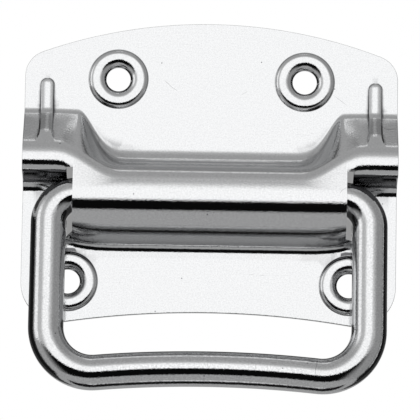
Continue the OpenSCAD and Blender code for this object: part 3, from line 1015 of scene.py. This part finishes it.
class SurfaceGroups:
    """Shader groups for effects that the finishes share, each made once."""

    speck_edge = (0.016, 0.03)
    scratch_edge = (0.0008, 0.0022)
    scratch_place = (0.16, 0.22)
    scratch_scales = (55.0, 120.0)
    scratch_share = 0.6

    @staticmethod
    def shared(
        name: str,
        inputs: Sequence[GroupSocket],
        outputs: Sequence[str],
        fill: Callable[[NodeKit, Sockets], Mapping[str, Feed]],
    ) -> bpy.types.NodeTree:
        """Gives a group, and makes it if it isn't there yet.

        Args:
            name: Name of the group.
            inputs: Its inputs.
            outputs: Names of its outputs, all of them numbers.
            fill: Adds the group's nodes and gives what feeds its outputs.

        Returns:
            The group's tree.
        """
        if name in bpy.data.node_groups:
            return bpy.data.node_groups[name]
        tree = bpy.data.node_groups.new(name, "ShaderNodeTree")
        for socket in inputs:
            kind = "NodeSocketVector" if socket.value is None else "NodeSocketFloat"
            made = tree.interface.new_socket(socket.name, in_out="INPUT", socket_type=kind)
            if socket.value is not None:
                made.default_value = socket.value
        for output in outputs:
            tree.interface.new_socket(output, in_out="OUTPUT", socket_type="NodeSocketFloat")
        kit = NodeKit(tree)
        kit.add("NodeGroupOutput", fill(kit, kit.add("NodeGroupInput")))
        return tree

    @classmethod
    def speckle(cls) -> bpy.types.NodeTree:
        """Fine uneven grain of bright plating on rolled steel."""

        def fill(kit: NodeKit, into: Sockets) -> Mapping[str, Feed]:
            """Adds the nodes."""
            noise = {"Vector": into["Vector"], "Scale": into["Scale"], "Detail": 3.0, "Roughness": 0.6}
            grain = kit.add("ShaderNodeTexNoise", noise)["Fac"]
            low, high = (kit.math(way, 0.5, into["Spread"]) for way in ("SUBTRACT", "ADD"))
            return {"Mask": kit.spread(grain, low, high), "Height": grain}

        inputs = [GroupSocket("Vector"), GroupSocket("Scale", 3000.0), GroupSocket("Spread", 0.2)]
        return cls.shared("plating_grain", inputs, ["Mask", "Height"], fill)

    @classmethod
    def hairlines(cls) -> bpy.types.NodeTree:
        """Faint drawn lines, stretched along one direction of the coordinates."""

        def fill(kit: NodeKit, into: Sockets) -> Mapping[str, Feed]:
            """Adds the nodes."""
            stretch = {0: into["Vector"], 1: into["Stretch"]}
            place = kit.add("ShaderNodeVectorMath", stretch, operation="MULTIPLY")[0]
            noise = {"Vector": place, "Scale": 1.0, "Detail": 4.0, "Roughness": 0.7}
            lines = kit.add("ShaderNodeTexNoise", noise)["Fac"]
            return {"Mask": kit.spread(lines, into["Threshold"], 0.85)}

        inputs = [GroupSocket("Vector"), GroupSocket("Stretch"), GroupSocket("Threshold", 0.6)]
        return cls.shared("drawn_lines", inputs, ["Mask"], fill)

    @classmethod
    def haze(cls) -> bpy.types.NodeTree:
        """Broad uneven haze, as handling leaves on bright metal."""

        def fill(kit: NodeKit, into: Sockets) -> Mapping[str, Feed]:
            """Adds the nodes."""
            noise = {"Vector": into["Vector"], "Scale": into["Scale"], "Detail": 5.0, "Roughness": 0.55}
            return {"Mask": kit.spread(kit.add("ShaderNodeTexNoise", noise)["Fac"], 0.35, 0.7)}

        inputs = [GroupSocket("Vector"), GroupSocket("Scale", 60.0)]
        return cls.shared("handling_haze", inputs, ["Mask"], fill)

    @classmethod
    def marks(cls) -> bpy.types.NodeTree:
        """Sparse specks and a few hairline scratches, as handling leaves on bright metal."""

        def fill(kit: NodeKit, into: Sockets) -> Mapping[str, Feed]:
            """Adds the nodes."""
            falling = (1.0, 0.0)
            split = kit.add("ShaderNodeSeparateXYZ", {0: into["Vector"]})
            front = kit.add("ShaderNodeCombineXYZ", {"X": split["X"], "Y": split["Z"]})[0]
            grid = {"Vector": front, "Scale": into["Speck Scale"]}
            cells = kit.add("ShaderNodeTexVoronoi", grid, voronoi_dimensions="2D")
            tint = kit.add("ShaderNodeSeparateColor", {0: cells["Color"]})[0]
            rare = kit.math("GREATER_THAN", tint, into["Rarity"])
            specks = kit.math("MULTIPLY", kit.spread(cells["Distance"], *cls.speck_edge, falling), rare)
            noises = []
            for scale in cls.scratch_scales:
                noise = {"Vector": front, "Scale": scale, "Detail": 1.0}
                noises.append(kit.add("ShaderNodeTexNoise", noise, noise_dimensions="2D")["Fac"])
            away = kit.math("ABSOLUTE", kit.math("SUBTRACT", noises[0], 0.5))
            thin = kit.math("SUBTRACT", into["Rarity"], noises[1])
            place = kit.spread(thin, *cls.scratch_place, falling)
            lines = kit.math("MULTIPLY", kit.spread(away, *cls.scratch_edge, falling), place)
            return {"Mask": kit.math("MAXIMUM", specks, kit.math("MULTIPLY", lines, cls.scratch_share))}

        inputs = [GroupSocket("Vector"), GroupSocket("Speck Scale", 150.0), GroupSocket("Rarity", 0.9)]
        return cls.shared("handling_marks", inputs, ["Mask"], fill)


@dataclass(frozen=True)
class PlatedFinish:
    """Bright plated steel: a mirror with a fine grain, drawn lines, a little haze and a few marks."""

    name: str
    bright: tuple[float, float, float]
    dull: tuple[float, float, float]
    smooth: float
    rough: float
    grain_scale: float
    grain_bump: float
    line_stretch: tuple[float, float, float]
    line_threshold: float
    grain_share: float = 0.55
    line_height: float = -0.5
    bump_depth: float = 0.00004
    ior: float = 1.5
    rarity: float = 0.9
    # The range below paints shade into recesses; the dark colour after it is that painted shade's tone and
    # also the colour of specks and scratches.
    painted_recess_shade: tuple[float, float] = (0.12, 0.34)
    hollow: tuple[float, float, float] = (0.12, 0.12, 0.125)

    def material(self) -> bpy.types.Material:
        """Builds the finish as a material."""
        made = bpy.data.materials.new(self.name)
        made.use_nodes = True
        kit = NodeKit(made.node_tree)
        place = kit.add("ShaderNodeTexCoord")["Object"]

        def group(tree: bpy.types.NodeTree, **inputs: Feed) -> Sockets:
            """Places a shader group, laid out over the piece."""
            return kit.add("ShaderNodeGroup", {"Vector": place, **inputs}, node_tree=tree)

        grain = group(SurfaceGroups.speckle(), Scale=self.grain_scale)
        drawn = SurfaceGroups.hairlines()
        lines = group(drawn, Stretch=self.line_stretch, Threshold=self.line_threshold)["Mask"]
        haze = group(SurfaceGroups.haze())["Mask"]
        marks = group(SurfaceGroups.marks(), Rarity=self.rarity)["Mask"]
        share = kit.math("MULTIPLY_ADD", grain["Mask"], self.grain_share, lines, clamped=True)
        tone = kit.blend(share, (*self.bright, 1.0), (*self.dull, 1.0))
        # Painted shade: the recess mark darkens the base colour towards the dark tone.
        occlusion = kit.add("ShaderNodeAttribute", attribute_name=PaintedShadeMarks.name)["Fac"]
        shade_mask = kit.spread(occlusion, *self.painted_recess_shade, kind="SMOOTHSTEP")
        height = kit.math("MULTIPLY_ADD", lines, self.line_height, grain["Height"])
        bump = {"Strength": self.grain_bump, "Distance": self.bump_depth, "Height": height}
        kit.feed(made.node_tree.nodes["Principled BSDF"], {
            "Metallic": 1.0,
            "IOR": self.ior,
            "Base Color": kit.blend(kit.math("MAXIMUM", shade_mask, marks), tone, (*self.hollow, 1.0)),
            "Roughness": kit.spread(haze, 0.0, 1.0, (self.smooth, self.rough)),
            "Normal": kit.add("ShaderNodeBump", bump)["Normal"],
        })
        return made


class Card(NamedTuple):
    """A card of the studio tent: its share of the light by azimuth, and its brightness by elevation."""

    name: str
    across: tuple[tuple[float, float], ...]
    up: tuple[tuple[float, float], ...]

    @staticmethod
    def along(stops: Sequence[tuple[float, float]], at: float) -> float | None:
        """Reads a row of stops at one place, or gives None outside it."""
        for (low, first), (high, last) in zip(stops, stops[1:]):
            if low <= at <= high:
                return mix(first, last, (at - low) / (high - low))
        return None

    def over(self, light: float, azimuth: float, elevation: float) -> float:
        """Lays the card over the light that is there.

        Args:
            light: Brightness of the tent without the card.
            azimuth: Direction in degrees, 0 towards the camera.
            elevation: Direction in degrees above the level.

        Returns:
            Brightness of the tent with the card.
        """
        lit = self.along(self.up, elevation)
        shares = [self.along(self.across, azimuth + turn) for turn in (0, 360)]
        share = max((v for v in shares if v is not None), default=0.0)
        return light if lit is None else mix(light, lit, share)


@dataclass(frozen=True)
class Studio:
    """Pale floor, and a soft studio tent with the cards that bright metal mirrors."""

    target: tuple[float, float, float] = (0.00015, 0.0, -0.03497)
    elevation: float = -9.0
    roll: float = 0.98
    distance: float = 1.25
    view_width: float = 0.11236
    sensor_width: float = 36.0
    clip: tuple[float, float] = (0.05, 50.0)
    floor_half: float = 6.0
    floor_height: float = -0.6
    floor_tone: float = 0.9
    floor_pale: float = 0.96
    backing_half: float = 44.0
    backing_up: tuple[float, float] = (-44.0, -20.0)
    backing_depth: float = -0.4
    painted_shadow_tone: float = 0.3
    tent_radius: float = 2.2
    tent_light: float = 0.45
    tent_steps: tuple[int, int] = (240, 180)
    cards: tuple[Card, ...] = (
        Card("right_wall", ((30, 0), (40, 1), (84, 1), (90, 0)), ((-50, 0.36), (60, 0.37))),
        Card(
            "front_wall",
            (
                (-80, 0), (-76, 0.88), (-57, 0.88), (-53, 0.25), (-32, 0.25), (-17, 1),
                (16, 1), (22, 0.45), (33, 0.22), (46, 0.03), (50, 0),
            ),
            ((-4, 1.36), (22, 1.36), (26, 1.27), (31, 0.97), (38, 0.61), (45, 0.53), (52, 0.48)),
        ),
        Card(
            "camera_gap",
            ((-56, 0), (-30, 1), (22, 1), (44, 0)),
            ((-43, 0.01), (-41, 0.004), (-6, 0.004), (-4, 0.02)),
        ),
        Card(
            "left_gap",
            ((-158, 0), (-154, 0.91), (-128, 0.91), (-122, 1), (-92, 1), (-82, 0)),
            ((-48, 0.01), (14, 0.01)),
        ),
        Card(
            "right_gap",
            ((84, 0), (96, 1), (122, 1), (128, 0.91), (154, 0.91), (158, 0)),
            ((-48, 0.01), (20, 0.01)),
        ),
        Card("right_strip", ((93.5, 0), (95, 1), (97, 1), (98.5, 0)), ((-30, 1.0), (20, 1.0))),
        Card("floor_strip", ((-90, 1), (90, 1)), ((-89, 1.1), (-86, 1.1))),
        Card("floor_gap", ((90, 1), (270, 1)), ((-86, 0.01), (-64, 0.01))),
        Card("ceiling_strip", ((-90, 1), (90, 1)), ((83, 1.1), (86, 1.1))),
        Card("rear_gap", ((100, 1), (260, 1)), ((20, 0.05), (60, 0.05), (66, 0.25), (83, 0.25))),
    )

    @staticmethod
    def direction(azimuth: float, elevation: float) -> Vector:
        """Gives the direction from the object for an azimuth and elevation in degrees."""
        a, e = math.radians(azimuth), math.radians(elevation)
        return Vector((math.sin(a) * math.cos(e), -math.cos(a) * math.cos(e), math.sin(e)))

    def camera(self) -> bpy.types.Object:
        """Sets the camera at the photograph's angle."""
        data = bpy.data.cameras.new("camera")
        data.sensor_width = self.sensor_width
        data.lens = self.sensor_width * self.distance / self.view_width
        data.clip_start, data.clip_end = self.clip
        made = bpy.data.objects.new("camera", data)
        bpy.context.scene.collection.objects.link(made)
        back = self.direction(0.0, self.elevation)
        made.location = Vector(self.target) + back * self.distance
        made.rotation_mode = "QUATERNION"
        turn = (-back).to_track_quat("-Z", "Y")
        made.rotation_quaternion = turn @ Quaternion((0, 0, 1), math.radians(self.roll))
        bpy.context.scene.camera = made
        return made

    @staticmethod
    def panel(name: str, corners: Sequence[Vector]) -> bpy.types.Object:
        """Makes a piece of one face, which mirrors don't see."""
        make = MeshMaker(name)
        make.faces.append([make.add(p) for p in corners])
        piece = make.build()
        piece.visible_glossy = False
        return piece

    @staticmethod
    def paint(piece: bpy.types.Object, name: str) -> NodeKit:
        """Gives a piece a new material, still without nodes."""
        paint = bpy.data.materials.new(name)
        paint.use_nodes = True
        paint.node_tree.nodes.clear()
        piece.data.materials.append(paint)
        return NodeKit(paint.node_tree)

    def tent(self) -> bpy.types.Object:
        """Builds the tent, a sphere that only mirrors see, as bright at each point as its cards make it."""
        make, mark = MeshMaker("studio_tent"), "light"
        around, upward = self.tent_steps
        rows = []
        for elevation in spaced(-90, 90, upward):
            rows.append([])
            for azimuth in spaced(-180, 180, around):
                light = self.tent_light
                for card in self.cards:
                    light = card.over(light, azimuth, elevation)
                rows[-1].append(make.add(self.direction(azimuth, elevation) * self.tent_radius, light))
        for first, second in zip(rows, rows[1:]):
            make.strip(first, second)
        piece = make.build(weld=0.0, mark_name=mark)
        kit = self.paint(piece, "studio_tent")
        strength = kit.add("ShaderNodeAttribute", attribute_name=mark)["Fac"]
        glow = kit.add("ShaderNodeEmission", {"Strength": strength})[0]
        kit.add("ShaderNodeOutputMaterial", {"Surface": glow})
        piece.visible_camera = False
        piece.visible_diffuse = False
        piece.visible_shadow = False
        return piece

    def floor(self) -> bpy.types.Object:
        """Lays the pale floor, well below the object and seen only from above."""
        half = self.floor_half
        plan = ((-half, -half), (half, -half), (half, half), (-half, half))
        piece = self.panel("floor", [Vector((x, y, self.floor_height)) for x, y in plan])
        kit = self.paint(piece, "pale_floor")
        matt = kit.add("ShaderNodeBsdfPrincipled", {"Base Color": grey(self.floor_tone)})[0]
        pale = kit.add("ShaderNodeEmission", {"Color": grey(self.floor_pale)})[0]
        seen = kit.choose(kit.add("ShaderNodeLightPath")["Is Camera Ray"], matt, pale)
        clear = kit.add("ShaderNodeBsdfTransparent")[0]
        kept = kit.choose(kit.add("ShaderNodeNewGeometry")["Backfacing"], seen, clear)
        kit.add("ShaderNodeOutputMaterial", {"Surface": kept})
        return piece

    def backing(self) -> bpy.types.Object:
        """Hangs a grey glowing card behind the slots, a painted shadow of the hollow behind the hood, seen
        only from the front.
        """
        half, (low, high) = self.backing_half, self.backing_up
        plan = ((-half, low), (half, low), (half, high), (-half, high))
        piece = self.panel("backing", [on_wall(x, up, self.backing_depth) for x, up in plan])
        kit = self.paint(piece, "backing")
        # Painted shadow: a flat grey glow stands in for the shaded space seen through the slots.
        shade = kit.add("ShaderNodeEmission", {"Color": grey(self.painted_shadow_tone)})[0]
        clear = kit.add("ShaderNodeBsdfTransparent")[0]
        kept = kit.choose(kit.add("ShaderNodeNewGeometry")["Backfacing"], shade, clear)
        kit.add("ShaderNodeOutputMaterial", {"Surface": kept})
        piece.visible_diffuse = False
        piece.visible_shadow = False
        return piece

    def world(self) -> None:
        """Fills what lies beyond the tent: white to the camera and mirrors, grey to the floor."""
        world = bpy.data.worlds.new("studio")
        bpy.context.scene.world = world
        world.use_nodes = True
        world.node_tree.nodes.clear()
        kit = NodeKit(world.node_tree)
        rays = kit.add("ShaderNodeLightPath")
        seen = kit.math("MAXIMUM", rays["Is Camera Ray"], rays["Is Glossy Ray"])
        seen = kit.math("MAXIMUM", seen, rays["Is Transmission Ray"])
        dim = kit.add("ShaderNodeBackground", {"Color": grey(1.0), "Strength": self.tent_light})[0]
        white = kit.add("ShaderNodeBackground", {"Color": grey(1.0)})[0]
        kit.add("ShaderNodeOutputWorld", {"Surface": kit.choose(seen, dim, white)})

    def build(self) -> None:
        """Sets up the whole studio."""
        self.world()
        self.floor()
        self.tent()
        self.backing()
        self.camera()
        bpy.context.scene.view_settings.view_transform = "Standard"


SHEET_PLATING = PlatedFinish(
    name="plated_sheet",
    bright=(0.72, 0.725, 0.73),
    dull=(0.53, 0.535, 0.545),
    smooth=0.05,
    rough=0.09,
    grain_scale=2600.0,
    grain_bump=0.5,
    line_stretch=(60.0, 400.0, 1600.0),
    line_threshold=0.66,
)

ROD_PLATING = PlatedFinish(
    name="plated_rod",
    bright=(0.74, 0.745, 0.75),
    dull=(0.40, 0.405, 0.415),
    smooth=0.04,
    rough=0.08,
    grain_scale=2600.0,
    grain_bump=0.5,
    line_stretch=(900.0, 900.0, 300.0),
    line_threshold=0.66,
)


def main() -> None:
    """Loads the frame, builds the plate, the rod and the studio."""
    logging.basicConfig(level=logging.INFO, format="%(name)s %(message)s")
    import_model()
    form = PressedForm(RodSizes())
    pieces = [PressedPlate(form).build(SHEET_PLATING), BailRod(form).build(ROD_PLATING)]
    for piece in pieces:
        LOG.info("%s carries %s", piece.name, piece.data.materials[0].name)
    Studio().build()


if __name__ == "__main__":
    main()
